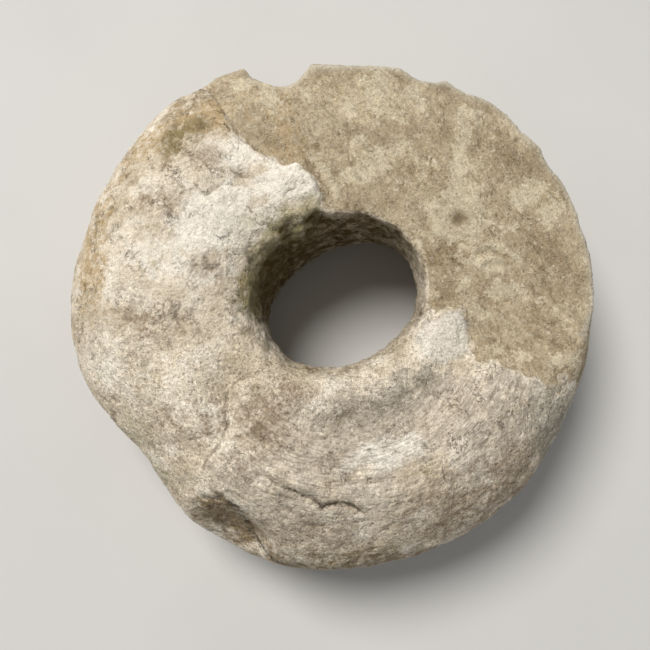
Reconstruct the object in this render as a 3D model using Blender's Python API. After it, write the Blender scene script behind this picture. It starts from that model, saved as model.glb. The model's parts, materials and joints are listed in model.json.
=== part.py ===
"""A perforated stone ring, worn round on its left and lower sides, with a hole pecked through from both
faces. One large flake is lost from the upper right and leaves a flat break with a low ledge round it.

Frame: +Z up, origin on the rest plane under the middle of the ring's box, +Y towards the notch in the edge.
Bearings are in degrees, counter-clockwise from +X, seen from above.
"""

import math

import bmesh
import bpy
from mathutils import Vector, noise

# Driving sizes, in metres
OUTER_DIAMETER = 0.0906
THICKNESS = 0.0345
HOLE_DIAMETER = 0.0250
MOUTH_FLARE = 0.0042
UNDER_FLARE = 0.0065
LIP_RADIUS = 0.0045
SHOULDER_RADIUS = 0.0092
FOOT_RADIUS = 0.0105
REST_DEPTH = 0.0006
HOLE_SHIFT_X = 0.0026
HOLE_SHIFT_Y = 0.0016

# Form, as shares of the ring's own sizes
HOLE_OVAL = 1.24
HOLE_LONG_BEARING = 32.0
FLARE_BEARING = 165.0
FLARE_FOCUS = 4.0
WAIST_HEIGHT_SHARE = 0.55
WAIST_LEAN_SHARE = 0.25
WAIST_HALF_HEIGHT_SHARE = 0.10
CREST_FALL_SHARE = 0.090
CREST_BEARING = 178.0
CROWN_SHARE = 0.022
UNDER_CROWN_SHARE = 0.040
SHARP_BEARING = 50.0
SHARP_FOCUS = 2.0
SHARP_SHOULDER_SHARE = 0.22
SHARP_LIP_SHARE = 0.12
UNDERCUT_SHARE = 0.035
TROUGH_DEPTH_SHARE = 0.085
TROUGH_RADIUS_SHARE = 0.50
TROUGH_HALF_WIDTH_SHARE = 0.175
TROUGH_BEARING = 285.0
TROUGH_HALF_ARC = 70.0
LUMP_HEIGHT_SHARE = 0.012
LUMP_SCALE = 3.2
UPPER_FROM = 0.65
UPPER_WHOLE = 0.90

# Outline before the chips: bearing and radius as a share of half the outer diameter
OUTLINE = (
    (0.0, 1.013),
    (28.0, 1.040),
    (52.0, 1.034),
    (68.0, 0.972),
    (92.0, 0.930),
    (110.0, 0.985),
    (130.0, 0.990),
    (150.0, 0.970),
    (184.0, 0.974),
    (197.0, 0.948),
    (207.0, 0.904),
    (217.0, 0.876),
    (227.0, 0.898),
    (238.0, 0.948),
    (252.0, 0.967),
    (280.0, 0.972),
    (312.0, 0.998),
    (336.0, 0.996),
)

# Chips out of the edge: name, bearing, chord and depth as shares of the radius, then the height of the
# chip's middle and half its height as shares of the thickness
EDGE_CHIPS = (
    ("notch", 101.8, 0.260, 0.128, 0.88, 0.46),
    ("scar", 247.5, 0.500, 0.180, 1.02, 0.58),
    ("scallop", 120.5, 0.190, 0.055, 0.84, 0.40),
    ("step", 69.0, 0.180, 0.034, 0.84, 0.36),
    ("hollow_high", 60.0, 0.170, 0.020, 0.80, 0.34),
    ("hollow_mid", 43.0, 0.220, 0.024, 0.76, 0.40),
    ("hollow_low", 33.0, 0.160, 0.020, 0.75, 0.30),
    ("hollow_right", 17.0, 0.220, 0.016, 0.74, 0.30),
    ("nick", 335.5, 0.080, 0.020, 0.60, 0.30),
)

# Broad rises and hollows of the upper surface: place and reach as shares of the radius, height as a share
# of the thickness
UPPER_FORMS = (
    (-0.10, 0.43, 0.20, 0.030),
    (-0.52, 0.30, 0.42, 0.018),
    (-0.36, -0.33, 0.16, -0.022),
    (-0.42, -0.50, 0.17, -0.028),
    (0.62, -0.36, 0.30, 0.015),
    (-0.10, -0.62, 0.22, 0.012),
)

# Edge of the large break, as shares of the radius: down the left ledge, round the knob and into the hole,
# then out again over the right ledge
BREAK_EDGE = (
    (-0.22, 1.30),
    (-0.26, 0.92),
    (-0.265, 0.70),
    (-0.255, 0.59),
    (-0.210, 0.505),
    (-0.170, 0.470),
    (-0.120, 0.487),
    (-0.075, 0.452),
    (-0.040, 0.390),
    (-0.025, 0.320),
    (0.00, 0.15),
    (0.20, -0.08),
    (0.33, -0.062),
    (0.402, -0.039),
    (0.487, -0.013),
    (0.500, -0.085),
    (0.525, -0.175),
    (0.610, -0.250),
    (0.800, -0.300),
    (1.30, -0.34),
    (1.30, 1.30),
)
BREAK_POINT = (-0.05, 0.45)
BREAK_POINT_HEIGHT_SHARE = 0.918
BREAK_SLOPE = 0.160
BREAK_SLOPE_BEARING = 22.0
BREAK_CURL = 1.00
BREAK_CURL_START_SHARE = 0.26
BREAK_CURL_BEARING = 290.0
BREAK_CURL_LIMIT_SHARE = 0.50
BREAK_SPAN_SHARE = 1.5
BREAK_RAISE_SHARE = 3.0

# Mesh
STATIONS = 120
SECTION_POINTS = 36
CURVE_STEPS = 14
CHIP_RINGS = 14
CHIP_SEGMENTS = 28
BREAK_STEPS = 26

STONE_COLOUR = (0.50, 0.43, 0.32, 1.0)
STONE_ROUGHNESS = 0.85

RADIUS = OUTER_DIAMETER / 2
HOLE_CENTRE = Vector((HOLE_SHIFT_X, HOLE_SHIFT_Y, 0.0))


def clear_scene():
    for obj in list(bpy.data.objects):
        bpy.data.objects.remove(obj, do_unlink=True)


def turn_between(bearing, centre):
    """Degrees from centre to bearing, from -180 to 180."""
    return (bearing - centre + 180.0) % 360.0 - 180.0


def swell(distance, half_width):
    """A smooth hump: 1 in the middle, 0 from half_width outwards."""
    share = abs(distance) / half_width
    return 0.5 * (1.0 + math.cos(math.pi * share)) if share < 1.0 else 0.0


def towards(bearing):
    angle = math.radians(bearing)
    return Vector((math.cos(angle), math.sin(angle), 0.0))


def facing(bearing, centre):
    """1 where the bearing is centre, 0 on the far side of the ring."""
    return 0.5 * (1.0 + math.cos(math.radians(bearing - centre)))


def outline_radius(bearing):
    """Radius of the outline, by a smooth curve through the listed points."""
    count = len(OUTLINE)
    first = max(k for k in range(count) if OUTLINE[k][0] <= bearing % 360.0)
    points = [OUTLINE[(first + k) % count] for k in (-1, 0, 1, 2)]
    turns = [turn_between(point[0], points[1][0]) for point in points]
    shares = [point[1] for point in points]
    span = turns[2]
    t = turn_between(bearing, points[1][0]) / span
    leave = (shares[2] - shares[0]) / (turns[2] - turns[0]) * span
    arrive = (shares[3] - shares[1]) / turns[3] * span
    share = (
        shares[1] * (2 * t**3 - 3 * t**2 + 1)
        + leave * (t**3 - 2 * t**2 + t)
        + shares[2] * (3 * t**2 - 2 * t**3)
        + arrive * (t**3 - t**2)
    )
    return RADIUS * share


def waist_radius(bearing):
    """Radius of the oval waist of the hole."""
    long_half = HOLE_DIAMETER / 2 * math.sqrt(HOLE_OVAL)
    short_half = HOLE_DIAMETER / 2 / math.sqrt(HOLE_OVAL)
    angle = math.radians(bearing - HOLE_LONG_BEARING)
    return long_half * short_half / math.hypot(short_half * math.cos(angle), long_half * math.sin(angle))


def crest_height(bearing):
    """Height of the worn upper surface, which is highest on the left."""
    return THICKNESS * (1.0 - CREST_FALL_SHARE * (1.0 - facing(bearing, CREST_BEARING)))


def control_points(bearing):
    """The section's control polygon, from the waist over the top and round under the ring."""
    out = towards(bearing)
    height = crest_height(bearing)
    waist = waist_radius(bearing)
    mouth = waist + MOUTH_FLARE * facing(bearing, FLARE_BEARING) ** FLARE_FOCUS
    under_mouth = waist + UNDER_FLARE * facing(bearing, FLARE_BEARING + 180.0)
    edge = outline_radius(bearing)
    sharp = facing(bearing, SHARP_BEARING) ** SHARP_FOCUS
    shoulder = SHOULDER_RADIUS * (1.0 - (1.0 - SHARP_SHOULDER_SHARE) * sharp)
    lip = LIP_RADIUS * (1.0 - (1.0 - SHARP_LIP_SHARE) * sharp)
    undercut = UNDERCUT_SHARE * RADIUS * sharp
    waist_z = height * (WAIST_HEIGHT_SHARE + WAIST_LEAN_SHARE * (1.0 - 2.0 * facing(bearing, FLARE_BEARING)))
    half = height * WAIST_HALF_HEIGHT_SHARE
    inner = (
        (waist, waist_z - half),
        (waist, waist_z + half),
        (mouth, height - lip),
        (mouth + lip, height),
    )
    outer = (
        ((mouth + edge) / 2, height * (1.0 + CROWN_SHARE)),
        (edge - shoulder, height),
        (edge, height - shoulder),
        (edge, height / 2),
        (edge - undercut, FOOT_RADIUS),
        (edge - undercut - FOOT_RADIUS, UNDER_CROWN_SHARE * THICKNESS),
        ((under_mouth + edge) / 2, 0.0),
    )
    under = ((under_mouth + LIP_RADIUS, UNDER_CROWN_SHARE * THICKNESS), (under_mouth, LIP_RADIUS))
    rise = Vector((0.0, 0.0, 1.0))
    return (
        [HOLE_CENTRE + out * r + rise * z for r, z in inner]
        + [out * r + rise * z for r, z in outer]
        + [HOLE_CENTRE + out * r + rise * z for r, z in under]
    )


def smooth_loop(points):
    """A closed quadratic spline through the middles of the control polygon's sides."""
    loop = []
    for i, corner in enumerate(points):
        start = (points[i - 1] + corner) / 2
        end = (corner + points[(i + 1) % len(points)]) / 2
        for step in range(CURVE_STEPS):
            t = step / CURVE_STEPS
            loop.append(start * (1 - t) ** 2 + corner * (2 * t * (1 - t)) + end * t**2)
    return loop


def even_loop(points, count):
    """The same closed loop with points at equal distances along it."""
    lengths = [(points[(i + 1) % len(points)] - p).length for i, p in enumerate(points)]
    spacing = sum(lengths) / count
    even, travelled, i = [], 0.0, 0
    for k in range(count):
        while travelled + lengths[i] < k * spacing:
            travelled += lengths[i]
            i += 1
        share = (k * spacing - travelled) / lengths[i]
        even.append(points[i].lerp(points[(i + 1) % len(points)], share))
    return even


def upper_change(point):
    """How far the broad forms raise the upper surface here, and the worn trough beside the hole lowers it."""
    arm = Vector((point.x, point.y, 0.0)) - HOLE_CENTRE
    bearing = math.degrees(math.atan2(arm.y, arm.x))
    across = swell(arm.length - TROUGH_RADIUS_SHARE * RADIUS, TROUGH_HALF_WIDTH_SHARE * RADIUS)
    along = swell(turn_between(bearing, TROUGH_BEARING), TROUGH_HALF_ARC)
    change = -TROUGH_DEPTH_SHARE * across * along
    for x, y, reach, height in UPPER_FORMS:
        change += height * swell(math.hypot(point.x / RADIUS - x, point.y / RADIUS - y), reach)
    on_top = (point.z / THICKNESS - UPPER_FROM) / (UPPER_WHOLE - UPPER_FROM)
    on_top = min(1.0, max(0.0, on_top))
    return change * THICKNESS * on_top


def ring_blank():
    """The whole ring before it lost any flakes, as a loft of smooth sections."""
    bm = bmesh.new()
    loops = []
    for station in range(STATIONS):
        section = even_loop(smooth_loop(control_points(360.0 * station / STATIONS)), SECTION_POINTS)
        loops.append([bm.verts.new(p) for p in section])
    for station, loop in enumerate(loops):
        following = loops[(station + 1) % STATIONS]
        for k in range(SECTION_POINTS):
            after = (k + 1) % SECTION_POINTS
            bm.faces.new((loop[k], loop[after], following[after], following[k]))
    bmesh.ops.recalc_face_normals(bm, faces=bm.faces)
    bm.normal_update()
    lumps = {v: noise.noise(v.co * LUMP_SCALE / RADIUS) * LUMP_HEIGHT_SHARE * RADIUS for v in bm.verts}
    for vert, lump in lumps.items():
        vert.co += vert.normal * lump
        vert.co.z += upper_change(vert.co) - REST_DEPTH
    return new_object("whorl", bm)


def new_object(name, bm):
    mesh = bpy.data.meshes.new(name)
    bm.to_mesh(mesh)
    bm.free()
    obj = bpy.data.objects.new(name, mesh)
    bpy.context.scene.collection.objects.link(obj)
    return obj


def as_cutter(obj):
    obj.hide_render = True
    obj.display_type = "WIRE"
    return obj


def combine(obj, other, operation):
    modifier = obj.modifiers.new(other.name, "BOOLEAN")
    modifier.operation = operation
    modifier.solver = "EXACT"
    modifier.object = other


def floor_block():
    """Everything under the rest plane."""
    bm = bmesh.new()
    bmesh.ops.create_cube(bm, size=2 * OUTER_DIAMETER)
    bmesh.ops.translate(bm, verts=bm.verts, vec=(0.0, 0.0, -OUTER_DIAMETER))
    return as_cutter(new_object("floor_block", bm))


def break_height(x, y):
    """Height of the large break's surface: a gentle slope that curls up towards its lower right end."""
    here = Vector((x, y, 0.0))
    along = (here - Vector((*BREAK_POINT, 0.0)) * RADIUS).dot(towards(BREAK_SLOPE_BEARING))
    beyond = max(0.0, here.dot(towards(BREAK_CURL_BEARING)) - BREAK_CURL_START_SHARE * RADIUS)
    curl = min(BREAK_CURL_LIMIT_SHARE * THICKNESS, BREAK_CURL * beyond**2 / RADIUS)
    return THICKNESS * BREAK_POINT_HEIGHT_SHARE - BREAK_SLOPE * along + curl


def break_above():
    """Everything above the large break's surface, over the whole ring."""
    bm = bmesh.new()
    bmesh.ops.create_grid(bm, x_segments=BREAK_STEPS, y_segments=BREAK_STEPS, size=BREAK_SPAN_SHARE * RADIUS)
    top = bmesh.ops.extrude_face_region(bm, geom=list(bm.faces))
    raised = [v for v in top["geom"] if isinstance(v, bmesh.types.BMVert)]
    bmesh.ops.translate(bm, verts=raised, vec=(0.0, 0.0, BREAK_RAISE_SHARE * THICKNESS))
    for vert in set(bm.verts) - set(raised):
        vert.co.z = break_height(vert.co.x, vert.co.y)
    bmesh.ops.recalc_face_normals(bm, faces=bm.faces)
    return as_cutter(new_object("break_above", bm))


def break_flake():
    """The large lost flake: what lies above the break, inside its edge."""
    bm = bmesh.new()
    edge = [bm.verts.new((x * RADIUS, y * RADIUS, 0.0)) for x, y in BREAK_EDGE]
    face = bm.faces.new(edge)
    top = bmesh.ops.extrude_face_region(bm, geom=[face])
    raised = [v for v in top["geom"] if isinstance(v, bmesh.types.BMVert)]
    bmesh.ops.translate(bm, verts=raised, vec=(0.0, 0.0, BREAK_RAISE_SHARE * THICKNESS))
    bmesh.ops.recalc_face_normals(bm, faces=bm.faces)
    flake = as_cutter(new_object("break_flake", bm))
    combine(flake, break_above(), "INTERSECT")
    return flake


def edge_chip(name, bearing, chord, depth, middle_height, half_height):
    """A cutter whose near side takes a chip of that chord and depth out of the edge."""
    edge = outline_radius(bearing)
    half_chord = chord * RADIUS / 2
    sagitta = depth * RADIUS - (edge - math.sqrt(edge**2 - half_chord**2))
    reach = (half_chord**2 + sagitta**2) / (2 * sagitta)
    bm = bmesh.new()
    bmesh.ops.create_uvsphere(bm, u_segments=CHIP_SEGMENTS, v_segments=CHIP_RINGS, radius=1.0)
    bmesh.ops.scale(bm, verts=bm.verts, vec=(reach, reach, half_height * THICKNESS))
    chip = as_cutter(new_object("chip_" + name, bm))
    chip.location = towards(bearing) * (edge - depth * RADIUS + reach)
    chip.location.z = middle_height * THICKNESS
    chip.rotation_euler.z = math.radians(bearing)
    return chip


def stone_material():
    material = bpy.data.materials.new("stone")
    material.use_nodes = True
    shader = material.node_tree.nodes["Principled BSDF"]
    shader.inputs["Base Color"].default_value = STONE_COLOUR
    shader.inputs["Roughness"].default_value = STONE_ROUGHNESS
    shader.inputs["Metallic"].default_value = 0.0
    return material


def centre_over_origin(whorl, helpers):
    """Moves the ring and its cutters together, so that the finished ring's box is centred on the origin."""
    carrier = bpy.data.objects.new("carrier", None)
    bpy.context.scene.collection.objects.link(carrier)
    for obj in (whorl, *helpers):
        obj.parent = carrier
    bpy.context.view_layer.update()
    corners = whorl.evaluated_get(bpy.context.evaluated_depsgraph_get()).bound_box
    for axis in (0, 1):
        values = [corner[axis] for corner in corners]
        carrier.location[axis] = -(min(values) + max(values)) / 2


def build():
    clear_scene()
    whorl = ring_blank()
    whorl.data.materials.append(stone_material())
    cutters = [floor_block(), break_flake()]
    cutters += [edge_chip(*chip) for chip in EDGE_CHIPS]
    for cutter in cutters:
        combine(whorl, cutter, "DIFFERENCE")
    helpers = [obj for obj in bpy.context.scene.objects if obj.hide_render]
    centre_over_origin(whorl, helpers)


build()
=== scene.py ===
"""A worn stone spindle whorl with one flat broken face, lying on a pale table."""

import json
import math

import bpy
import numpy as np
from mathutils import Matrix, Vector, noise
from mathutils.kdtree import KDTree

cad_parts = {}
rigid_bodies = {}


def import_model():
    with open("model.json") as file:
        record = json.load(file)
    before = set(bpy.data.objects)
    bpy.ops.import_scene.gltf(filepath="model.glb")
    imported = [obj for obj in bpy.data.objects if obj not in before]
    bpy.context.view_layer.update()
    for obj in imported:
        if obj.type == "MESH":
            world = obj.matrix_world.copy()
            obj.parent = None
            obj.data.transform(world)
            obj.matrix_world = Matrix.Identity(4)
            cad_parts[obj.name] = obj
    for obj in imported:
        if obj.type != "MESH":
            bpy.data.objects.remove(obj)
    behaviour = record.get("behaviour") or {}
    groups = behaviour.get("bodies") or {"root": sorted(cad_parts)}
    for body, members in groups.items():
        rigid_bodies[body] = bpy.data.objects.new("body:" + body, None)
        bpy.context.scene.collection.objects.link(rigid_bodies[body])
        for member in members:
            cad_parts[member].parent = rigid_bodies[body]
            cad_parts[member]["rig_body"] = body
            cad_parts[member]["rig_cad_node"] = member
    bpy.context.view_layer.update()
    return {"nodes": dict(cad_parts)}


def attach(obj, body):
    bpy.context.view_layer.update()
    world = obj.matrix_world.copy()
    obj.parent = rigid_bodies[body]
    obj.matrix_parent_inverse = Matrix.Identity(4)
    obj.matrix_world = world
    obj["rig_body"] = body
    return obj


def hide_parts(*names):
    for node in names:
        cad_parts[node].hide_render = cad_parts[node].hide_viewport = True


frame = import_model()

# Places and sizes are in mm in the whorl's own frame, and bearings in degrees from +X through +Y
MM = 0.001
REST_HEIGHT = 0.0
HOLE_MIDDLE = (1.4, -0.3)
KNOB = (-5.5, 18.5)
FACE_PIT = (21.1, 15.7)
SLOPE_BEARING = 158.0
KNOB_BEARING = 112.0
LEFT_LIP_BEARING = 178.0
TROUGH_BEARING = -82.0
RUBBED_BEARING = -64.0

# How finely the stone is carved, the angle of a crisp edge, and the spacing of the marks along it
VOXEL = 0.52
CRISP_ANGLE = 38.0
MARK_SPACING = 0.5

# Heights between which the broken face begins, and distances from the hole's middle where its wall ends
FACE_HEIGHTS = (22.0, 25.0)
WALL_ENDS = (19.0, 24.0)
# Radius at which the way round the hole is unrolled
UNROLL_RADIUS = 26.0
# Farthest that a distance to an edge or a line is painted
FAR = 3.0

# The view: focal length and width in pixels, place in metres, tilt in degrees
FOCAL_PIXELS = 800.0
WIDTH_PIXELS = 650.0
SENSOR = 36.0
CAMERA_PLACE = (-0.00736, -0.02159, 0.1584)
CAMERA_TILT = (8.2, -2.5)

# Edge of the flat broken face in plan, in mm: down the left ledge, round the knob, across the hole and out
BREAK_EDGE = (
    (-26.0, 59.8), (-22.8, 38.5), (-20.3, 34.7), (-18.4, 31.4), (-17.0, 29.2), (-15.6, 27.3), (-13.6, 25.6),
    (-11.6, 24.1), (-8.7, 22.2), (-6.5, 23.0),
    (-4.4, 21.4), (-2.8, 18.6), (-2.2, 15.4), (-1.0, 7.7), (8.0, -2.7), (13.9, -1.9), (17.2, -0.8),
    (21.0, 0.4), (21.6, -2.9), (22.8, -7.0), (26.6, -10.4), (35.2, -12.7), (57.9, -14.5), (57.9, 59.8),
)


def smooth(low, high, value):
    """0 below low, 1 above high, and an easy turn between them."""
    share = np.clip((value - low) / (high - low), 0.0, 1.0)
    return share * share * (3.0 - 2.0 * share)


def cloud(points, size, octaves=3, seed=0.0):
    """Soft lumps about that many mm across, about -1 to 1."""
    shift = Vector((seed, 1.7 * seed, -0.6 * seed))
    return np.array([noise.fractal(Vector(p) / size + shift, 1.0, 2.0, octaves) for p in points])


def chance(point):
    """A fixed number from 0 to 1 for a place."""
    return math.sin(point.x * 12.9898 + point.y * 78.233 + point.z * 37.719) * 43758.5453 % 1.0


def pecked(points, cell, share, least, most, seed=0.0):
    """Depth, 0 to 1, of small pits: one in that share of the cells, each between the two radii in mm."""
    depth = np.zeros(len(points))
    shift = Vector((seed, -seed, 2.0 * seed))
    for i, p in enumerate(points):
        away, middles = noise.voronoi(Vector(p) / cell + shift)
        luck = chance(middles[0])
        if luck < share:
            radius = least + (most - least) * (luck / share) ** 1.5
            inside = 1.0 - away[0] * cell / radius
            if inside > 0.0:
                depth[i] = min(1.0, 1.6 * inside) * (0.5 + 0.5 * radius / most)
    return depth


def along_line(plan, line):
    """Distance in mm to a line of points, signed (left of it is positive), and the share of it passed."""
    line = np.array(line, float)
    steps = np.diff(line, axis=0)
    lengths = np.hypot(steps[:, 0], steps[:, 1])
    passed = np.concatenate([[0.0], np.cumsum(lengths)])
    best = np.full(len(plan), 1e9)
    side = np.ones(len(plan))
    share = np.zeros(len(plan))
    for start, step, length, before in zip(line, steps, lengths, passed):
        gap = plan - start
        t = np.clip((gap @ step) / length**2, 0.0, 1.0)
        off = gap - t[:, None] * step
        far = np.hypot(off[:, 0], off[:, 1])
        turn = step[0] * gap[:, 1] - step[1] * gap[:, 0]
        near = far < best
        best = np.where(near, far, best)
        side = np.where(near, np.where(turn >= 0, 1.0, -1.0), side)
        share = np.where(near, (before + t * length) / passed[-1], share)
    return best * side, share


def inside_edge(plan, edge):
    """Distance in mm inside a closed outline, negative outside it."""
    edge = np.array(edge, float)
    closed = np.vstack([edge, edge[:1]])
    far = np.abs(along_line(plan, closed)[0])
    within = np.zeros(len(plan), bool)
    for a, b in zip(closed[:-1], closed[1:]):
        crosses = (a[1] > plan[:, 1]) != (b[1] > plan[:, 1])
        rise = b[1] - a[1] if b[1] != a[1] else 1e-9
        at = a[0] + (plan[:, 1] - a[1]) * (b[0] - a[0]) / rise
        within ^= crosses & (plan[:, 0] < at)
    return np.where(within, far, -far)


def spot(plan, x, y, reach_x, reach_y, turn=0.0):
    """1 at the middle of an oval place, 0.37 at its edge."""
    c, s = math.cos(math.radians(turn)), math.sin(math.radians(turn))
    dx, dy = plan[:, 0] - x, plan[:, 1] - y
    u, v = dx * c + dy * s, dy * c - dx * s
    return np.exp(-((u / reach_x) ** 2) - (v / reach_y) ** 2)


def from_hole(plan):
    """Way from the hole's middle in plan, its length in mm and its bearing in radians."""
    way = plan - np.array(HOLE_MIDDLE)
    return way, np.hypot(way[:, 0], way[:, 1]), np.arctan2(way[:, 1], way[:, 0])


def towards(bearing, degrees):
    """1 at that bearing, 0 at right angles to it and -1 opposite it."""
    return np.cos(bearing - math.radians(degrees))


# The stone's body: a merged copy of the solid, made fine enough to carve

def select_only(piece):
    bpy.ops.object.select_all(action="DESELECT")
    piece.select_set(True)
    bpy.context.view_layer.objects.active = piece


def apply_modifier(piece, name, kind, **settings):
    select_only(piece)
    modifier = piece.modifiers.new(name, kind)
    for key, value in settings.items():
        setattr(modifier, key, value)
    bpy.ops.object.modifier_apply(modifier=modifier.name)


def copy_of_solid():
    select_only(frame["nodes"]["whorl"])
    bpy.ops.object.duplicate()
    stone = bpy.context.view_layer.objects.active
    stone.name = "worn_stone"
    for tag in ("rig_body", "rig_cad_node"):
        if tag in stone:
            del stone[tag]
    bpy.ops.object.parent_clear(type="CLEAR_KEEP_TRANSFORM")
    bpy.ops.object.mode_set(mode="EDIT")
    bpy.ops.mesh.select_all(action="SELECT")
    bpy.ops.mesh.remove_doubles(threshold=1e-6)
    bpy.ops.object.mode_set(mode="OBJECT")
    return stone


def crisp_edges(stone):
    """Points along the edges where the solid turns sharply outwards, in mm."""
    mesh = stone.data
    faces_of = {}
    for polygon in mesh.polygons:
        for key in polygon.edge_keys:
            faces_of.setdefault(key, []).append(polygon)
    found = []
    for (a, b), faces in faces_of.items():
        if len(faces) == 2 and faces[0].normal.angle(faces[1].normal, 0.0) > math.radians(CRISP_ANGLE):
            start, end = mesh.vertices[a].co / MM, mesh.vertices[b].co / MM
            count = max(1, int((end - start).length / MARK_SPACING))
            found += [start.lerp(end, (i + 0.5) / count) for i in range(count)]
    return found


def gap_to(points, marks):
    """Distance in mm from each point to the nearest mark."""
    tree = KDTree(len(marks))
    for i, mark in enumerate(marks):
        tree.insert(mark, i)
    tree.balance()
    return np.array([tree.find(Vector(p))[2] for p in points])


def places(stone):
    flat = np.empty(3 * len(stone.data.vertices))
    stone.data.vertices.foreach_get("co", flat)
    return flat.reshape(-1, 3) / MM


def facings(stone):
    flat = np.empty(3 * len(stone.data.vertices), dtype=np.float32)
    stone.data.vertices.foreach_get("normal", flat)
    return flat.reshape(-1, 3).astype(float)


def put_back(stone, points):
    stone.data.vertices.foreach_set("co", (points * MM).ravel())
    stone.data.update()


def weigh(stone, name, weights):
    group = stone.vertex_groups.new(name=name)
    for i, weight in enumerate(weights):
        group.add([i], float(weight), "REPLACE")
    return name


def is_worn_round(mark):
    """Whether wear has rounded an edge over: at the flake scar, and at both far ends of the ledge."""
    turn = math.degrees(math.atan2(mark[1], mark[0])) % 360.0
    at_scar = 225.0 < turn < 268.0 and math.hypot(mark[0], mark[1]) > 24.0
    right_ledge = mark[0] > 22.4 and -17.0 < mark[1] < -4.5
    upper_ledge = -16.5 < mark[0] < -9.5 and 26.0 < mark[1] < 39.0
    return at_scar or right_ledge or upper_ledge


stone = copy_of_solid()
edges = crisp_edges(stone)
apply_modifier(stone, "fine skin", "REMESH", mode="VOXEL", voxel_size=VOXEL * MM, use_smooth_shade=True)

points = places(stone)
crisp_gap = gap_to(points, [mark for mark in edges if not is_worn_round(mark)])
round_gap = gap_to(points, [mark for mark in edges if is_worn_round(mark)])
soft = weigh(stone, "soft", 0.12 + 0.88 * smooth(0.5, 3.0, crisp_gap))
apply_modifier(stone, "lose the facets", "SMOOTH", factor=0.5, iterations=16, vertex_group=soft)
worn = weigh(stone, "worn", smooth(5.5, 2.5, round_gap) * smooth(12.0, 20.0, points[:, 2]))
apply_modifier(stone, "worn over", "SMOOTH", factor=0.5, iterations=90, vertex_group=worn)

# the hole's upper left slopes before it falls as a wall
points = places(stone)
out = facings(stone)
height = points[:, 2]
_, hole_gap, bearing = from_hole(points[:, :2])
slope_side = smooth(0.35, 0.85, towards(bearing, SLOPE_BEARING))
fill = 1.7 * slope_side * smooth(19.0, 17.0, hole_gap)
fill *= smooth(17.5, 24.0, height)
fill *= smooth(33.0, 28.5, height)
put_back(stone, points + out * fill[:, None])
sloped = weigh(stone, "sloped", slope_side * smooth(20.5, 18.5, hole_gap) * smooth(16.0, 22.0, height))
apply_modifier(stone, "slope worn over", "SMOOTH", factor=0.5, iterations=60, vertex_group=sloped)

# Carving: what years of wear and one blow left on it

points = places(stone)
out = facings(stone)
plan = points[:, :2]
up = smooth(0.30, 0.75, out[:, 2])
hole_way, hole_gap, bearing = from_hole(plan)
facing_hole = -(out[:, 0] * hole_way[:, 0] + out[:, 1] * hole_way[:, 1]) / np.maximum(hole_gap, 0.1)
near_hole = 1.0 - smooth(*WALL_ENDS, hole_gap)
hole_wall = smooth(0.35, 0.75, facing_hole) * near_hole
under = smooth(0.35, 0.75, -out[:, 2])

ragged = 0.9 * cloud(points, 2.6, 4, 4.0)
break_gap = inside_edge(plan, BREAK_EDGE)
broken = smooth(-0.3, 0.5, break_gap + ragged) * smooth(0.1, 0.5, out[:, 2])
broken *= smooth(*FACE_HEIGHTS, points[:, 2])
broken *= 1.0 - hole_wall
skin = 1.0 - broken

lift = np.zeros(len(points))

# worn and pecked skin, with the places where its pits cluster: place and reach in mm, turn in degrees
PITTED = (
    (-25.0, 28.0, 4.6, 3.6, 30), (-15.5, 20.0, 4.0, 2.2, 10), (-7.0, 20.4, 2.4, 1.8, 0),
    (-25.0, 13.6, 4.5, 3.2, 0), (-20.0, 6.0, 4.0, 3.4, 0), (-23.8, -4.0, 3.6, 3.6, 0),
    (-32.0, -1.0, 3.0, 3.0, 0), (-33.0, 14.0, 3.0, 6.0, 0), (-15.0, 38.0, 4.0, 4.0, 0),
    (-15.0, -3.0, 2.4, 4.0, 0), (-27.0, -17.0, 4.0, 3.0, 0), (-17.5, -35.5, 4.5, 3.4, -30),
    (-13.6, 9.2, 2.4, 2.0, 0), (-38.0, -6.0, 2.2, 4.0, 0),
)
rough_skin = skin * (1.0 - 0.35 * under)
lift += rough_skin * 0.17 * cloud(points, 7.0, 3, 1.0)
lift += rough_skin * 0.08 * cloud(points, 2.4, 3, 2.0)
lift += rough_skin * 0.08 * cloud(points, 1.1, 2, 3.0)
left_side = smooth(10.0, -10.0, plan[:, 0] + 0.35 * plan[:, 1])
pitted = smooth(0.0, 0.45, cloud(points, 7.0, 3, 7.0)) * (0.25 + 0.50 * left_side)
for place in PITTED:
    pitted = np.maximum(pitted, spot(plan, *place))
bent = points + 0.6 * np.column_stack([cloud(points, 1.4, 2, seed) for seed in (11.0, 12.0, 13.0)])
pits = 0.9 * pecked(bent, 1.6, 0.35, 0.35, 0.75, 9.0)
pits = np.maximum(pits, smooth(0.22, 0.50, cloud(bent, 1.9, 3, 14.0)))
creases = smooth(0.07, 0.0, np.abs(cloud(bent, 5.5, 3, 16.0)))
pits = np.maximum(pits, 0.8 * creases) * (0.08 + 0.92 * pitted)
flakes = smooth(-0.06, 0.06, cloud(bent, 4.6, 5, 15.0))
lift += rough_skin * (0.16 * (flakes - 0.5) - 0.40 * pits)

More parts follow.
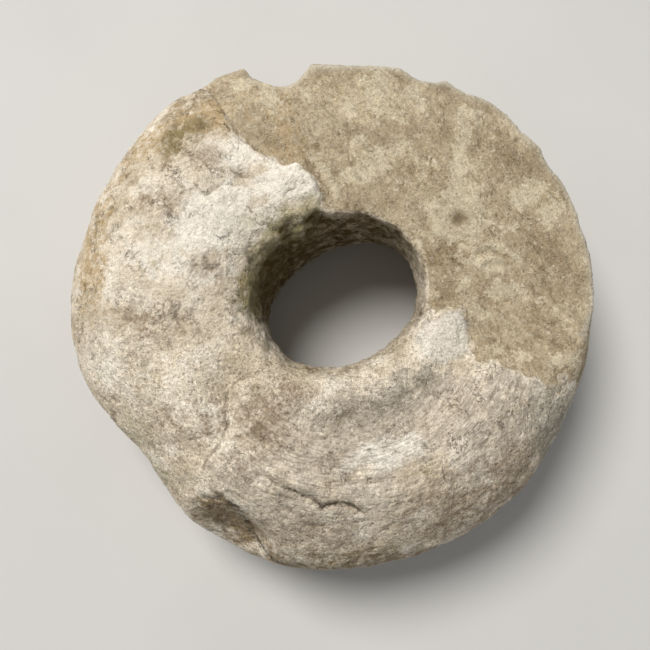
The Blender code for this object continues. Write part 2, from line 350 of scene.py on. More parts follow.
# flat broken face, with its crusts, the ripples round the knob, its ridges, its fold and its pit
lift += broken * 0.20 * cloud(points, 11.0, 3, 21.0)
lift += broken * 0.07 * cloud(points, 1.3, 3, 22.0)
crusts = smooth(0.02, 0.16, cloud(bent, 5.2, 6, 25.0))
lift += broken * 0.14 * (crusts - 0.3)
knob_gap = np.hypot(plan[:, 0] - KNOB[0], plan[:, 1] - KNOB[1])
ripple = np.sin(2.0 * math.pi * knob_gap / 1.7 + 1.2 * cloud(points, 5.0, 2, 23.0))
lift += broken * 0.11 * ripple * smooth(6.0, 7.0, knob_gap) * smooth(13.0, 8.0, knob_gap)
RIDGES = (
    ((-5.0, 24.8), (-4.1, 24.4), (-2.9, 23.4), (-1.7, 22.1), (-0.7, 20.7), (0.0, 19.1), (0.2, 17.2)),
    ((22.7, 8.3), (23.4, 10.0), (24.7, 10.7), (26.1, 11.1), (28.1, 10.7), (29.8, 9.9), (31.2, 8.6),
     (32.2, 7.2)),
    ((24.1, 7.1), (25.3, 8.4), (27.1, 8.7), (28.9, 7.9)),
)
ridge = np.zeros(len(points))
for line in RIDGES:
    gap, share = along_line(plan, line)
    ends = smooth(0.0, 0.12, share) * smooth(1.0, 0.88, share)
    crest = 0.38 * np.exp(-((gap / 0.5) ** 2))
    foot = 0.42 * np.exp(-(((gap + 0.9) / 0.6) ** 2))
    lift += broken * ends * (crest - foot)
    ridge = np.maximum(ridge, ends * np.exp(-((gap / 0.7) ** 2)))
FOLD = ((25.1, 40.0), (24.8, 34.4), (24.9, 29.6), (23.9, 27.0))
gap, share = along_line(plan, FOLD)
lift -= (
    broken * 0.36 * smooth(0.0, 0.3, share) * smooth(1.0, 0.8, share)
    * smooth(-0.2, 0.3, gap) * smooth(5.0, 0.5, gap))
lift -= broken * 0.60 * spot(plan, *FACE_PIT, 1.3, 1.1, 20.0)

# pecked wall of the hole
lift += hole_wall * (
    0.30 * cloud(points, 2.6, 3, 31.0) + 0.12 * cloud(points, 1.2, 2, 32.0)
    - 0.35 * pecked(bent, 2.2, 0.45, 0.5, 1.1, 33.0))

# rubbed trough round the lower side of the hole, with the lip above it and its striae
below_hole = smooth(-0.15, 0.75, towards(bearing, TROUGH_BEARING)) * up * skin
lift -= 0.9 * below_hole * np.exp(-(((hole_gap - 20.8) / 3.4) ** 2))
lift += 0.6 * below_hole * np.exp(-(((hole_gap - 29.5) / 3.5) ** 2))
lift += 0.35 * below_hole * np.exp(-(((hole_gap - 15.6) / 1.8) ** 2))
left_lip = smooth(0.3, 0.9, towards(bearing, LEFT_LIP_BEARING)) * up * skin
lift += 0.9 * left_lip * np.exp(-(((hole_gap - 17.8) / 3.0) ** 2))
rubbed = smooth(-1.0, -2.2, plan[:, 1] / 6.0) * smooth(17.0, 21.0, hole_gap)
rubbed = rubbed * smooth(38.0, 31.0, hole_gap) * up
across = hole_gap / 1.3 + 0.5 * cloud(points, 6.0, 2, 42.0)
swept = np.column_stack([bearing * UNROLL_RADIUS / 8.0, across, points[:, 2] / 6.0])
striae = cloud(swept, 1.0, 2, 41.0)
rubbed *= skin * smooth(0.0, 0.75, towards(bearing, RUBBED_BEARING))
lift += 0.08 * rubbed * striae * (0.3 + 0.7 * smooth(-0.1, 0.3, cloud(points, 6.0, 2, 43.0)))

# hollows under the knob and down the upper left of the hole: place, reach and depth in mm
HOLLOWS = (
    (-3.6, 14.4, 30.4, 1.7, 1.0), (-2.4, 14.6, 28.6, 2.0, 1.3), (-8.2, 12.9, 30.4, 1.5, 0.7),
    (-8.3, 11.8, 28.4, 1.6, 0.8), (-8.4, 11.4, 26.4, 1.6, 0.8), (-11.4, 8.4, 24.0, 2.8, 0.7),
    (-6.0, 13.0, 22.0, 2.4, 0.7), (7.8, 14.4, 24.5, 1.3, 0.8), (-13.0, 3.0, 20.0, 2.4, 0.6),
)
hollowed = np.zeros(len(points))
for x, y, z, reach, depth in HOLLOWS:
    away = np.linalg.norm(points - (x, y, z), axis=1) * (1.0 + 0.5 * cloud(points, 1.8, 2, 35.0))
    body = np.exp(-((away / reach) ** 2))
    lift -= depth * body
    hollowed = np.maximum(hollowed, body)

# a pale tongue of stone hangs between the hollows: places down it, and its half width
TONGUE = ((-6.1, 15.0, 32.0), (-5.8, 14.1, 31.0), (-5.6, 13.3, 29.4))
TONGUE_WIDTH = 1.15
tongue = np.zeros(len(points))
for place in TONGUE:
    away = np.linalg.norm(points - place, axis=1)
    tongue = np.maximum(tongue, np.exp(-((away / TONGUE_WIDTH) ** 2)))
lift += 0.7 * tongue

points = points + out * lift[:, None]

# lines cut into the stone, as places in plan
CRACK = (
    (-8.8, -28.3), (-7.3, -29.0), (-5.0, -29.8), (-3.7, -30.4), (-2.4, -31.6), (-1.1, -31.4), (0.2, -30.9),
    (1.7, -31.2), (3.0, -31.9), (4.9, -33.1),
)
SCAR = (
    (-21.5, -30.2), (-19.5, -30.6), (-17.6, -30.9), (-15.8, -31.9), (-14.5, -34.0), (-13.5, -36.6),
    (-12.0, -38.9), (-10.0, -41.1), (-8.0, -42.0), (-5.0, -42.6),
)
VALLEY = (
    (-21.1, -26.9), (-20.1, -24.6), (-18.2, -22.2), (-17.1, -19.7), (-17.4, -16.9), (-17.1, -14.1),
    (-15.3, -12.2), (-11.8, -11.2),
)
LEDGE = (
    (-10.1, 23.3), (-11.9, 24.5), (-13.9, 25.8), (-15.9, 27.3), (-17.0, 29.2), (-18.2, 31.1), (-18.9, 32.3),
    (-20.3, 34.7), (-22.0, 37.5),
)
SQUIGGLES = (
    ((-22.7, 18.9), (-22.1, 17.9), (-20.9, 17.2), (-19.7, 18.1), (-18.6, 19.1), (-17.1, 18.9), (-16.3, 20.0)),
    ((-17.1, 21.5), (-16.0, 20.8), (-14.7, 20.5), (-13.9, 20.0)),
    ((-19.5, 10.8), (-18.4, 10.1), (-17.1, 11.1), (-16.2, 12.1)),
    ((-8.7, 17.1), (-7.6, 18.4), (-7.0, 18.2), (-6.6, 19.3)),
    ((-5.6, 20.5), (-5.3, 19.6), (-4.8, 18.8)),
    ((-24.4, -0.1), (-25.3, -2.6), (-24.0, -5.0)),
    ((-21.2, 5.3), (-19.6, 5.3), (-18.6, 6.3)),
    ((-11.3, -26.0), (-10.2, -27.2), (-9.6, -28.0), (-8.8, -28.3)),
)
# Line, groove depth and half width, step, reach, how dark the painted shade along it is and how broad it
# looks, and how low it runs.
# The ground right of a line drops by the step and rises again over the reach. A negative step is on its left.
CUTS = [
    (CRACK, 0.80, 0.42, 0.55, 6.5, 1.0, 1.7, 18.0),
    (SCAR, 0.45, 0.60, 0.0, 8.0, 0.9, 2.0, 8.0),
    (VALLEY, 0.35, 0.60, -0.65, 6.0, 0.65, 1.5, 18.0),
    (LEDGE, 0.30, 0.50, 0.45, 4.5, 0.45, 1.3, 18.0),
]
CUTS += [(line, 0.25, 0.45, 0.0, 1.0, 0.55, 1.3, 18.0) for line in SQUIGGLES]
wobble = 0.22 * cloud(points, 0.9, 2, 71.0)
line_gap = np.full(len(points), FAR)
line_shade = np.zeros(len(points))
for line, groove, half, step, reach, shade_strength, breadth, lowest in CUTS:
    gap, share = along_line(plan, line)
    gap = gap + wobble
    ends = smooth(0.0, 0.15, share) * smooth(1.0, 0.85, share)
    tips = smooth(-0.01, 0.04, share) * smooth(1.01, 0.96, share)
    on_top = smooth(0.05, 0.40, out[:, 2]) * smooth(lowest, lowest + 4.0, points[:, 2])
    middle = 0.75 + 0.45 * np.exp(-(((share - 0.45) / 0.18) ** 2))
    beside = smooth(0.3, -0.3, gap) * smooth(-reach, -0.3, gap)
    if step < 0.0:
        beside = smooth(-0.3, 0.3, gap) * smooth(reach, 0.3, gap)
    points[:, 2] -= on_top * ends * abs(step) * beside
    points[:, 2] -= on_top * tips * (0.3 + 0.7 * ends) * middle * groove * np.exp(-((gap / half) ** 2))
    line_gap = np.where(np.abs(gap) < np.abs(line_gap), gap / (breadth * middle), line_gap)
    shade = shade_strength * on_top * tips * (0.35 + 0.65 * ends) * np.exp(-((gap / 1.1) ** 2))
    line_shade = np.maximum(line_shade, shade)

# the ground swells a little on the scar's inner side, and its floor is filled again near the line's start
gap, share = along_line(plan, SCAR)
points[:, 2] += (
    0.30 * up * np.exp(-(((gap - 1.9) / 1.3) ** 2))
    * smooth(0.3, 0.5, share) * smooth(1.0, 0.8, share))
points[:, 2] += (
    0.8 * smooth(0.0, 0.4, out[:, 2]) * np.exp(-(((gap + 2.4) / 2.0) ** 2))
    * smooth(0.0, 0.1, share) * smooth(0.75, 0.35, share))

points[:, 2] = np.maximum(points[:, 2], REST_HEIGHT)
put_back(stone, points)

# Where each finish lies, painted on the points

def tint(red, green, blue):
    """A colour on the 0 to 255 scale, made ready for the shader."""
    share = np.array([red, green, blue]) / 255.0
    return np.where(share <= 0.04045, share / 12.92, ((share + 0.055) / 1.055) ** 2.4)


# pale skin, made lighter still to paint the sheen where the left part faces the light
PALE_AND_SHEEN = tint(249, 241, 226)
COOL_PALE = tint(238, 230, 216)
# painted highlight, laid on the bank below the trough
SHEEN = tint(236, 231, 222)
GREEN_PALE = tint(200, 192, 164)
OLIVE_PALE = tint(184, 172, 130)
TAN = tint(196, 172, 134)
OLIVE = tint(142, 126, 88)
BROWN = tint(150, 132, 102)
RUST = tint(184, 163, 131)
FACE_PALE = tint(212, 197, 166)
COOL_ROSE = tint(200, 189, 173)
ROSE_BROWN = tint(172, 154, 132)
# grey laid as painted shade on the lower right
GREY_SHADE = tint(166, 160, 144)
SCAR_BROWN = tint(152, 132, 100)
GROUND = tint(204, 192, 172)
CRUST = tint(226, 216, 190)
CRUST_BRINK = tint(240, 228, 202)
FLECK = tint(246, 238, 222)
THREAD = tint(232, 218, 188)
SCRATCH = tint(244, 238, 224)
SPECK = tint(124, 106, 80)
PIT = tint(112, 95, 68)
CREASE = tint(128, 108, 78)
# painted shade in the cut lines' grooves and under their steps
CUT_LINE_SHADE = tint(76, 63, 43)
# dirt colour, also laid as painted shade on the hole's wall
SOIL_AND_SHADE = tint(95, 77, 37)
WORN_RIM = tint(222, 218, 202)

# Tones from dark to light, each with the noise level that it begins at
SKIN_TONES = ((0.36, tint(210, 196, 172)), (0.50, tint(231, 218, 197)), (0.62, tint(242, 233, 216)))
BREAK_TONES = ((0.36, tint(171, 154, 127)), (0.50, tint(183, 167, 139)), (0.62, tint(194, 179, 152)))
MOTTLING = (
    (0.37, (0.40, 0.35, 0.28)), (0.44, (0.72, 0.68, 0.62)), (0.50, (0.93, 0.92, 0.91)),
    (0.56, (1.0, 1.0, 1.0)),
)
FLAKING = ((0.38, (0.55, 0.51, 0.45)), (0.48, (0.90, 0.89, 0.88)), (0.60, (1.20, 1.19, 1.15)))
GRAIN = ((0.35, (0.26, 0.23, 0.19)), (0.49, (0.94, 0.94, 0.93)), (0.63, (1.45, 1.44, 1.42)))
STREAKS = ((0.38, (0.50, 0.47, 0.43)), (0.48, (0.92, 0.91, 0.90)), (0.60, (1.22, 1.22, 1.21)))
TABLE_TONES = ((0.3, (0.60, 0.59, 0.57)), (0.7, (0.64, 0.63, 0.61)))

# Stains, pale places, painted highlights and painted shade on the worn skin and the broken face: place and
# reach in mm, turn, colour, strength
SKIN_PATCHES = (
    (10.0, -19.0, 20.0, 9.0, 15, COOL_ROSE, 0.80),
    (-6.0, -30.0, 14.0, 8.0, -10, COOL_ROSE, 0.50),
    (30.0, -18.0, 10.0, 10.0, 0, COOL_ROSE, 0.55),
    (-39.5, 9.0, 4.0, 14.0, 0, TAN, 0.60),
    (-30.0, 27.0, 4.0, 9.0, -40, TAN, 0.55),
    (-30.5, -24.0, 3.0, 8.0, 35, GREEN_PALE, 0.45),
    (-28.1, -4.2, 5.5, 3.0, 20, ROSE_BROWN, 0.45),
    (-20.2, 5.4, 3.6, 2.2, -10, ROSE_BROWN, 0.50),
    (-27.1, 16.4, 6.0, 3.6, 15, ROSE_BROWN, 0.50),
    (-33.0, -2.6, 3.5, 2.5, 0, ROSE_BROWN, 0.40),
    # pale places, with painted sheen on those just left of the hole
    (-17.5, 14.5, 8.0, 5.5, 10, PALE_AND_SHEEN, 0.90),
    (-15.9, 26.0, 5.5, 5.0, 0, PALE_AND_SHEEN, 0.75),
    (-27.0, 6.5, 6.0, 3.4, 10, PALE_AND_SHEEN, 0.60),
    (-19.0, 12.4, 7.0, 4.2, 20, PALE_AND_SHEEN, 1.00),
    (-37.0, -8.5, 4.0, 5.5, 0, PALE_AND_SHEEN, 0.45),
    (-31.8, 10.5, 5.0, 4.0, 0, PALE_AND_SHEEN, 0.35),
    (-25.0, -12.0, 7.0, 4.0, 20, PALE_AND_SHEEN, 0.35),
    (-6.5, 19.5, 7.0, 4.5, -10, PALE_AND_SHEEN, 0.95),
    (-13.0, 12.2, 4.0, 3.5, 0, GREEN_PALE, 0.60),
    (-24.0, -20.0, 7.0, 5.0, 20, ROSE_BROWN, 0.20),
    (-4.0, -37.0, 13.0, 4.0, 0, ROSE_BROWN, 0.35),
    # a brown stain along the bottom edge, darkened further as painted shade where the edge turns from the
    # light
    (4.0, -41.5, 20.0, 2.6, 0, BROWN, 0.60),
    (25.0, -30.0, 14.0, 6.0, 38, ROSE_BROWN, 0.60),
    # painted shade on the outer edge at the lower right
    (36.0, -20.0, 4.0, 9.0, 0, GREY_SHADE, 0.60),
    (-14.0, -20.5, 6.0, 8.0, 20, ROSE_BROWN, 0.36),
    (-23.0, -21.0, 6.0, 5.0, 20, ROSE_BROWN, 0.22),
    (-6.5, -13.5, 5.0, 2.6, -30, ROSE_BROWN, 0.45),
    # painted highlight on the bank below the trough
    (7.7, -23.4, 6.5, 2.6, 18, SHEEN, 0.90),
    (-10.5, -16.5, 6.0, 3.2, 40, ROSE_BROWN, 0.30),
    # painted shade in the trough below the hole
    (3.0, -17.0, 11.0, 2.6, 10, GREY_SHADE, 0.18),
    (-11.0, -19.0, 4.5, 4.0, 40, ROSE_BROWN, 0.25),
    # painted shade under the lip below the hole
    (12.0, -12.6, 5.0, 2.4, 30, GREY_SHADE, 0.35),
    (-24.0, 34.5, 7.0, 3.4, 38, BROWN, 0.40),
    (-21.5, 31.0, 5.0, 2.8, 35, TAN, 0.90),
    (-18.2, 29.4, 3.0, 2.8, 0, TAN, 0.90),
    (14.0, -32.0, 5.0, 4.0, 0, ROSE_BROWN, 0.45),
    (-26.6, 26.4, 2.4, 3.2, 10, OLIVE, 0.80),
    (-23.2, 29.6, 3.0, 1.8, 35, OLIVE, 0.75),
    (-21.0, 23.6, 3.2, 2.0, 20, ROSE_BROWN, 0.60),
    (-17.2, -35.6, 7.0, 3.8, -42, SCAR_BROWN, 0.85),
)
FACE_PATCHES = (
    (6.0, 36.0, 12.0, 5.0, 0, FACE_PALE, 0.55),
    (-15.0, 33.0, 4.0, 7.0, 35, RUST, 0.55),
    (-9.5, 27.5, 3.2, 5.0, 25, RUST, 0.60),
    (-4.0, 26.0, 3.0, 4.0, 0, BROWN, 0.45),
    (18.6, 8.8, 4.6, 3.8, 0, BROWN, 0.70),
    (36.5, 7.0, 5.0, 9.0, 0, BROWN, 0.35),
    (29.0, 29.0, 7.0, 4.0, -40, BROWN, 0.40),
    (14.0, 24.0, 5.0, 4.0, 0, BROWN, 0.40),
    (-8.0, 31.0, 2.5, 8.0, 10, TAN, 0.35),
    (16.5, 1.6, 3.2, 2.4, 20, BROWN, 0.55),
    (33.0, -4.0, 8.0, 5.0, 0, BROWN, 0.25),
)
# Crisp pale crusts on the broken face: place and reach in mm, turn, strength
CRUSTS = (
    (21.5, 16.2, 5.4, 5.6, 0, 0.95), (20.9, 24.2, 1.7, 5.0, -12, 1.00), (22.7, 33.4, 1.2, 3.6, 0, 0.90),
    (33.4, 21.2, 3.6, 2.4, 30, 1.00), (37.0, 18.0, 2.5, 3.0, 0, 0.60), (6.3, 24.4, 4.6, 2.8, 20, 1.00),
    (4.2, 28.2, 2.0, 1.6, 0, 0.85), (10.5, 26.8, 3.0, 1.5, 20, 0.60), (7.6, 37.0, 2.6, 4.8, 0, 0.85),
    (13.0, 37.2, 2.6, 2.2, 0, 0.55), (3.0, 33.4, 1.6, 3.0, 0, 0.55), (13.6, 8.2, 1.5, 4.8, 12, 1.00),
    (25.0, 7.6, 5.2, 1.0, -10, 0.85), (21.2, 4.0, 1.1, 2.6, -30, 0.75), (28.5, 3.2, 5.0, 2.0, -5, 0.60),
    (24.5, -0.6, 3.0, 1.6, 0, 0.60), (29.0, -7.6, 5.0, 1.8, -8, 0.65), (37.0, -9.0, 4.0, 2.0, 0, 0.65),
    (-11.5, 36.5, 1.6, 3.4, 15, 1.00), (-15.5, 37.0, 2.0, 2.0, 0, 0.70), (-5.0, 36.0, 1.2, 3.0, 20, 0.60),
    (25.4, 34.6, 2.0, 1.6, 0, 0.55), (30.0, 14.0, 3.0, 1.6, 0, 0.50),
)
# A pale rubbed patch beside the hole, and the olive rim at the hole's upper left
RUBBED_PATCH = (
    (13.0, -4.2), (14.4, -2.4), (21.6, 0.4), (22.1, -3.0), (22.2, -7.6), (17.0, -9.8), (13.6, -8.0),
)
OLIVE_RIM = (
    (-4.6, 15.0), (-6.5, 14.0), (-8.2, 12.4), (-10.5, 10.4), (-12.3, 7.8), (-13.4, 4.5), (-14.0, 1.1),
    (-14.2, -3.0),
)

tatter = 0.5 * cloud(points, 3.2, 4, 51.0)
clean = np.zeros(len(points))
wash = np.zeros((len(points), 4))
wash[:, :3] = GROUND


def lay(patches, where):
    """Lays soft patches over one another where that face is."""
    where = where * smooth(12.0, 23.0, points[:, 2] + 6.0 * tatter)
    for x, y, reach_x, reach_y, turn, colour, strength in patches:
        body = spot(plan, x, y, reach_x, reach_y, turn)
        cover = strength * where * smooth(0.15, 0.75, body + tatter * (0.25 + 0.9 * body))
        rest = wash[:, 3] * (1.0 - cover)
        total = np.maximum(cover + rest, 1e-6)
        wash[:, :3] = (colour * cover[:, None] + wash[:, :3] * rest[:, None]) / total[:, None]
        wash[:, 3] = cover + rest
        clean[:] = np.where(colour is PALE_AND_SHEEN, np.maximum(clean, cover), clean * (1.0 - 0.7 * cover))


lay(SKIN_PATCHES, skin * (1.0 - hole_wall))
lay(FACE_PATCHES, broken)
gap, share = along_line(plan, OLIVE_RIM)
rub_cover = 0.95 * skin * smooth(-0.9, 0.9, inside_edge(plan, RUBBED_PATCH) + 1.6 * tatter) * up
near_rim = np.exp(-((gap / 3.0) ** 2)) + 0.5 * tatter
rim_cover = 0.80 * skin * smooth(1.05, 0.85, share) * smooth(0.2, 0.7, near_rim)
for cover, colour in ((rub_cover, COOL_PALE), (rim_cover, OLIVE_PALE)):
    wash[:, :3] = wash[:, :3] * (1.0 - cover[:, None]) + colour * cover[:, None]
    wash[:, 3] = np.maximum(wash[:, 3], cover)
clean = np.maximum(clean, 0.5 * rub_cover)

crust = np.zeros(len(points))
for x, y, reach_x, reach_y, turn, strength in CRUSTS:
    crust = np.maximum(crust, strength * spot(plan, x, y, reach_x, reach_y, turn))
crust = broken * np.clip(np.maximum(crust, 0.8 * ridge) + 0.22 * crusts, 0.0, 1.0)

SCRATCHED = (
    (15.2, -11.2, 2.6, 3.4, 0), (19.0, -24.5, 2.6, 4.2, 0), (30.0, -17.5, 4.0, 5.0, 0),
    (26.0, -12.5, 2.0, 2.0, 0),
)
scratched = np.zeros(len(points))
for place in SCRATCHED:
    scratched = np.maximum(scratched, skin * spot(plan, *place))

# soil on the hole's wall with painted shade: stronger towards the knob's side, lower down the hole and in the
# hollows
towards_knob = smooth(0.1, 0.9, towards(bearing, KNOB_BEARING))
wall = smooth(0.25, 0.90, facing_hole + 0.25 * tatter) * near_hole
top = 33.0 - 3.0 * slope_side
soil_and_shade = wall * (0.40 + 0.50 * towards_knob) * smooth(top, top - 5.0, points[:, 2] + 2.0 * tatter)
soil_and_shade = soil_and_shade + 0.25 * hole_wall * cloud(points, 3.0, 3, 61.0)
soil_and_shade = np.maximum(soil_and_shade, smooth(0.20, 0.95, hollowed + 0.4 * tatter))
soil_and_shade = np.clip(soil_and_shade * (1.0 - 0.9 * tongue), 0.0, 1.0)
dark = np.clip(rough_skin * pits * 0.9, 0.0, 1.0)
face_pit = broken * spot(plan, *FACE_PIT, 1.7, 1.3, 20.0)
dark = np.maximum(dark, 1.4 * face_pit)
crust *= 1.0 - 0.8 * face_pit
rim = np.exp(-((crisp_gap / 0.8) ** 2)) * smooth(28.0, 34.0, hole_gap) * (plan[:, 0] > -15.0)


def paint(name, values, kind="FLOAT", field="value"):
    layer = stone.data.attributes.new(name, kind, "POINT")
    layer.data.foreach_set(field, values.astype(np.float32).ravel())


# the broken face's edge is more broken up at its lower right
on_face = smooth(0.1, 0.5, out[:, 2]) * smooth(*FACE_HEIGHTS, points[:, 2]) * (1.0 - hole_wall)
low_right = smooth(13.0, 20.0, plan[:, 0]) * smooth(1.0, -5.0, plan[:, 1])
faded = 2.6 * low_right * cloud(points, 3.6, 4, 62.0)
break_gap = np.clip(break_gap + ragged + faded, -FAR, FAR) * on_face - FAR * (1.0 - on_face)
grainy = (0.50 + 0.50 * smooth(2.0, -14.0, plan[:, 1])) * (1.0 - 0.45 * rubbed)
grainy = np.where(broken > 0.5, 0.45, grainy)

paint("wash", wash, "FLOAT_COLOR", "color")
LEVELS = {
    "break_gap": break_gap, "line_gap": line_gap, "line_shade": line_shade, "clean": clean, "grainy": grainy,
    "crust": crust, "scratched": scratched, "soil_and_shade": soil_and_shade, "dark": dark, "rim": rim, "rubbed": rubbed,
}
for name, values in LEVELS.items():
    paint(name, values)
# the way round the hole, and the way down and across the ledge, to stretch noise along
sweep = np.column_stack([bearing * UNROLL_RADIUS, hole_gap, 0.4 * points[:, 2]])
paint("sweep", sweep, "FLOAT_VECTOR", "vector")
down_ledge = 0.62 * points[:, 0] - 0.78 * points[:, 1]
over_ledge = 0.78 * points[:, 0] + 0.62 * points[:, 1]
paint("slant", np.column_stack([down_ledge, over_ledge, points[:, 2]]), "FLOAT_VECTOR", "vector")

select_only(stone)
bpy.ops.object.shade_smooth()


# The stone's finish

class Finish:
    """One node material, built from small steps."""

    def __init__(self, name):
        self.material = bpy.data.materials.new(name)
        self.material.use_nodes = True
        self.tree = self.material.node_tree
        self.shader = next(n for n in self.tree.nodes if n.type == "BSDF_PRINCIPLED")
        self.place = self.node("ShaderNodeTexCoord").outputs["Object"]

    def node(self, kind, **settings):
        made = self.tree.nodes.new(kind)
        for key, value in settings.items():
            setattr(made, key, value)
        return made

    def join(self, value, socket):
        if hasattr(value, "is_output"):
            self.tree.links.new(value, socket)
        elif isinstance(value, (int, float)):
            socket.default_value = value
        else:
            socket.default_value = (*value, 1.0)

    def clouds(self, size, detail=4.0, rough=0.55, bend=0.0, along=None, stretch=None):
        """Soft noise about that many mm across, along the piece's own place or a painted one."""
        made = self.node("ShaderNodeTexNoise")
        place, scale = self.place, 1.0 / (size * MM)
        if along:
            place, scale = self.painted(along).outputs["Vector"], 1.0 / size
        if stretch:
            turned = self.node("ShaderNodeMapping")
            self.join(place, turned.inputs["Vector"])
            turned.inputs["Scale"].default_value = stretch
            place = turned.outputs["Vector"]
        self.join(place, made.inputs["Vector"])
        made.inputs["Scale"].default_value = scale
        made.inputs["Detail"].default_value = detail
        made.inputs["Roughness"].default_value = rough
        made.inputs["Distortion"].default_value = bend
        return made.outputs["Fac"]

    def specks(self, size):
        made = self.node("ShaderNodeTexVoronoi")
        self.join(self.place, made.inputs["Vector"])
        made.inputs["Scale"].default_value = 1.0 / (size * MM)
        return made.outputs["Distance"]

    def spread(self, value, low, high, to_low=0.0, to_high=1.0):
        """Takes low to one level and high to another, and goes no farther than either."""
        made = self.node("ShaderNodeMapRange", clamp=True)
        self.join(value, made.inputs["Value"])
        made.inputs["From Min"].default_value = low
        made.inputs["From Max"].default_value = high
        made.inputs["To Min"].default_value = to_low
        made.inputs["To Max"].default_value = to_high
        return made.outputs["Result"]

    def reckon(self, how, a, b=0.0):
        made = self.node("ShaderNodeMath", operation=how)
        self.join(a, made.inputs[0])
        self.join(b, made.inputs[1])
        return made.outputs[0]

    def plus(self, a, b):
        return self.reckon("ADD", a, b)

    def minus(self, a, b):
        return self.reckon("SUBTRACT", a, b)

    def times(self, a, b):
        return self.reckon("MULTIPLY", a, b)

    def off_middle(self, value):
        """How far a value is from 0.5, which is 0 along thin crooked lines of a noise."""
        return self.reckon("ABSOLUTE", self.minus(value, 0.5))

    def mix(self, share, a, b, how="MIX"):
        made = self.node("ShaderNodeMix", data_type="RGBA", blend_type=how)
        self.join(share, made.inputs[0])
        self.join(a, made.inputs[6])
        self.join(b, made.inputs[7])
        return made.outputs[2]

    def steps(self, value, stops):
        """A colour for each level of a value, from stops of a level and its colour."""
        made = self.node("ShaderNodeValToRGB")
        ramp = made.color_ramp
        while len(ramp.elements) < len(stops):
            ramp.elements.new(0.5)
        for element, (at, colour) in zip(ramp.elements, stops):
            element.position = at
            element.color = (*colour, 1.0)
        self.join(value, made.inputs["Fac"])
        return made.outputs["Color"]

    def painted(self, name):
        return self.node("ShaderNodeAttribute", attribute_name=name)

    def level(self, name):
        return self.painted(name).outputs["Fac"]


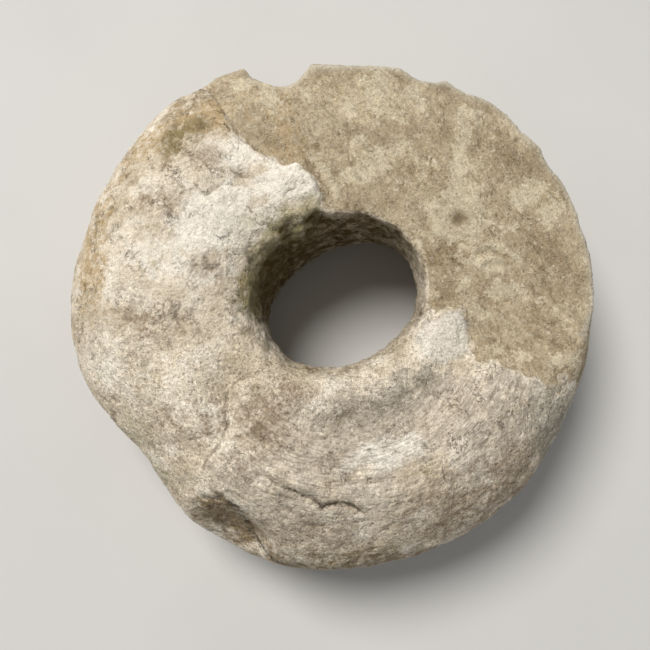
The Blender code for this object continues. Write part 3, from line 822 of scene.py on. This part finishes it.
def weathered_stone():
    f = Finish("weathered stone")
    ragged = f.clouds(1.6, 9.0, 0.75)
    fray = f.spread(ragged, 0.30, 0.70, -1.0, 1.0)
    face = f.spread(f.plus(f.level("break_gap"), f.times(fray, 0.70)), -0.10, 0.16)
    clean, grainy, rubbed = f.level("clean"), f.level("grainy"), f.level("rubbed")
    unclean = f.minus(1.0, f.times(clean, 0.80))

    # ground colours, stains and crusts
    broad = f.clouds(7.0, 5.0, 0.6)
    colour = f.mix(face, f.steps(broad, SKIN_TONES), f.steps(broad, BREAK_TONES))
    washed = f.painted("wash")
    share = f.spread(f.plus(washed.outputs["Alpha"], f.times(fray, 0.60)), 0.22, 0.78)
    colour = f.mix(share, colour, washed.outputs["Color"])
    flakes = f.spread(f.clouds(2.6, 9.0, 0.75, 0.8), 0.34, 0.66, -0.42, 0.42)
    laid = f.plus(f.level("crust"), flakes)
    crust = f.times(f.spread(laid, 0.46, 0.53, 0.0, 0.54), face)
    colour = f.mix(crust, colour, CRUST)
    brink = f.times(f.spread(f.off_middle(laid), 0.0, 0.05, 0.9, 0.0), face)
    brink = f.times(brink, f.spread(ragged, 0.40, 0.56))
    colour = f.mix(brink, colour, CRUST_BRINK)

    # mottling, then the fine grain, stronger on the lower side
    tone = f.plus(f.times(f.clouds(2.6, 9.0, 0.8), 0.45), f.times(f.clouds(0.45, 3.0, 0.85, 1.0), 0.55))
    mottled = f.times(unclean, f.minus(1.05, f.times(grainy, 0.55)))
    colour = f.mix(mottled, colour, f.steps(tone, MOTTLING), "MULTIPLY")
    flaky = f.steps(f.clouds(1.8, 8.0, 0.74, 0.9, along="slant", stretch=(0.50, 1.25, 1.0)), FLAKING)
    colour = f.mix(f.times(face, 0.55), colour, flaky, "MULTIPLY")
    grain = f.steps(f.clouds(0.38, 4.0, 0.75, 1.2), GRAIN)
    colour = f.mix(f.times(grainy, 0.95), colour, grain, "MULTIPLY")
    streaks = f.steps(f.clouds(1.0, 5.0, 0.78, 0.4, along="sweep", stretch=(0.32, 2.2, 1.0)), STREAKS)
    colour = f.mix(f.times(rubbed, 0.85), colour, streaks, "MULTIPLY")

    # pale flecks and threads, scratches, dark specks
    flecks = f.times(f.spread(f.clouds(0.7, 5.0, 0.8, 0.8), 0.57, 0.66), 0.55)
    colour = f.mix(flecks, colour, FLECK)
    threads = f.spread(f.off_middle(f.clouds(2.2, 8.0, 0.78)), 0.0, 0.020, 0.80, 0.0)
    patchy = f.spread(f.clouds(5.0, 4.0, 0.6), 0.45, 0.58)
    threads = f.times(threads, f.times(face, patchy))
    colour = f.mix(threads, colour, THREAD)
    scratches = f.spread(f.clouds(1.0, 1.0, 0.5, stretch=(4.6, 0.30, 1.0)), 0.62, 0.67)
    scratches = f.times(scratches, f.times(f.level("scratched"), 0.8))
    colour = f.mix(scratches, colour, SCRATCH)
    specks = f.spread(f.clouds(0.75, 5.0, 0.75, 0.6), 0.60, 0.68)
    specks = f.times(specks, f.spread(f.clouds(6.0, 4.0), 0.44, 0.60, 0.15, 0.85))
    colour = f.mix(f.times(specks, unclean), colour, SPECK)

    # dark pits and fine crooked creases in the skin
    pit = f.times(f.level("dark"), f.minus(1.0, f.times(clean, 0.55)))
    colour = f.mix(f.times(pit, 0.62), colour, PIT)
    crease = f.spread(f.off_middle(f.clouds(3.4, 7.0, 0.72, 0.4)), 0.0, 0.014, 0.60, 0.0)
    crease = f.times(crease, f.spread(f.clouds(4.0, 3.0), 0.50, 0.60))
    crease = f.times(crease, f.spread(grainy, 0.5, 0.9, 1.0, 0.15))
    crease = f.times(crease, f.times(unclean, f.minus(1.0, face)))
    colour = f.mix(crease, colour, CREASE)

    # cut lines with painted shade along them, soil and painted shade in the hole, worn rim
    thin = f.plus(f.level("line_gap"), f.spread(f.clouds(0.5, 3.0), 0.3, 0.7, -0.16, 0.16))
    thin = f.spread(f.reckon("ABSOLUTE", thin), 0.05, 0.30, 1.0, 0.0)
    thin = f.times(thin, f.level("line_shade"))
    thin = f.times(thin, f.spread(f.clouds(1.4, 3.0), 0.36, 0.56, 0.35, 1.0))
    colour = f.mix(thin, colour, CUT_LINE_SHADE)
    soil_and_shade = f.spread(f.plus(f.level("soil_and_shade"), f.times(fray, 0.35)), 0.10, 0.85)
    soil_and_shade = f.times(soil_and_shade, f.spread(f.clouds(1.9, 8.0, 0.75), 0.40, 0.57, 0.45, 1.10))
    colour = f.mix(soil_and_shade, colour, SOIL_AND_SHADE)
    colour = f.mix(f.times(f.level("rim"), 0.45), colour, WORN_RIM)
    f.join(colour, f.shader.inputs["Base Color"])

    # rubbed stone shines a little, and the finest relief is only shaded
    rough = f.spread(f.clouds(1.2, 4.0), 0.3, 0.7, 0.74, 0.92)
    f.join(f.minus(rough, f.times(rubbed, 0.18)), f.shader.inputs["Roughness"])
    f.shader.inputs["Specular IOR Level"].default_value = 0.35
    bump = f.node("ShaderNodeBump")
    bump.inputs["Strength"].default_value = 1.0
    bump.inputs["Distance"].default_value = 0.30 * MM
    rise = f.plus(f.clouds(0.7, 5.0, 0.7, 0.4), f.times(f.spread(f.specks(1.1), 0.35, 0.05), -0.5))
    rise = f.minus(rise, f.plus(f.times(crease, 0.6), f.times(thin, 0.8)))
    f.join(rise, bump.inputs["Height"])
    f.join(bump.outputs["Normal"], f.shader.inputs["Normal"])
    return f.material


stone.data.materials.clear()
stone.data.materials.append(weathered_stone())
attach(stone, "root")
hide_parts("whorl")

# Table, light and camera

bpy.ops.object.select_all(action="DESELECT")
bpy.ops.mesh.primitive_plane_add(size=3.0, location=(0.0, 0.0, 0.0))
table = bpy.context.active_object
table.name = "table"
plain = Finish("pale table")
plain.join(plain.steps(plain.clouds(60.0, 3.0), TABLE_TONES), plain.shader.inputs["Base Color"])
plain.shader.inputs["Roughness"].default_value = 0.9
table.data.materials.append(plain.material)


def lamp(name, place, size, power, colour):
    data = bpy.data.lights.new(name, "AREA")
    data.shape = "DISK"
    data.size = size
    data.energy = power
    data.color = colour
    light = bpy.data.objects.new(name, data)
    light.location = place
    light.rotation_euler = (-Vector(place)).to_track_quat("-Z", "Y").to_euler()
    bpy.context.scene.collection.objects.link(light)


lamp("window_side", place=(-0.47, 0.50, 1.18), size=0.60, power=18.4, colour=(1.0, 0.98, 0.945))
world = bpy.data.worlds.new("studio")
world.use_nodes = True
sky = world.node_tree.nodes["Background"]
sky.inputs["Color"].default_value = (0.95, 0.97, 1.0, 1.0)
sky.inputs["Strength"].default_value = 0.26
bpy.context.scene.world = world

lens = bpy.data.cameras.new("photo_side")
lens.lens = FOCAL_PIXELS / WIDTH_PIXELS * SENSOR
lens.sensor_width = SENSOR
lens.clip_start = 0.005
camera = bpy.data.objects.new("photo_side", lens)
camera.location = CAMERA_PLACE
camera.rotation_euler = (math.radians(CAMERA_TILT[0]), math.radians(CAMERA_TILT[1]), 0.0)
bpy.context.scene.collection.objects.link(camera)
bpy.context.scene.camera = camera
bpy.context.scene.view_settings.view_transform = "Standard"

print("triangles", sum(len(p.vertices) - 2 for p in stone.data.polygons))
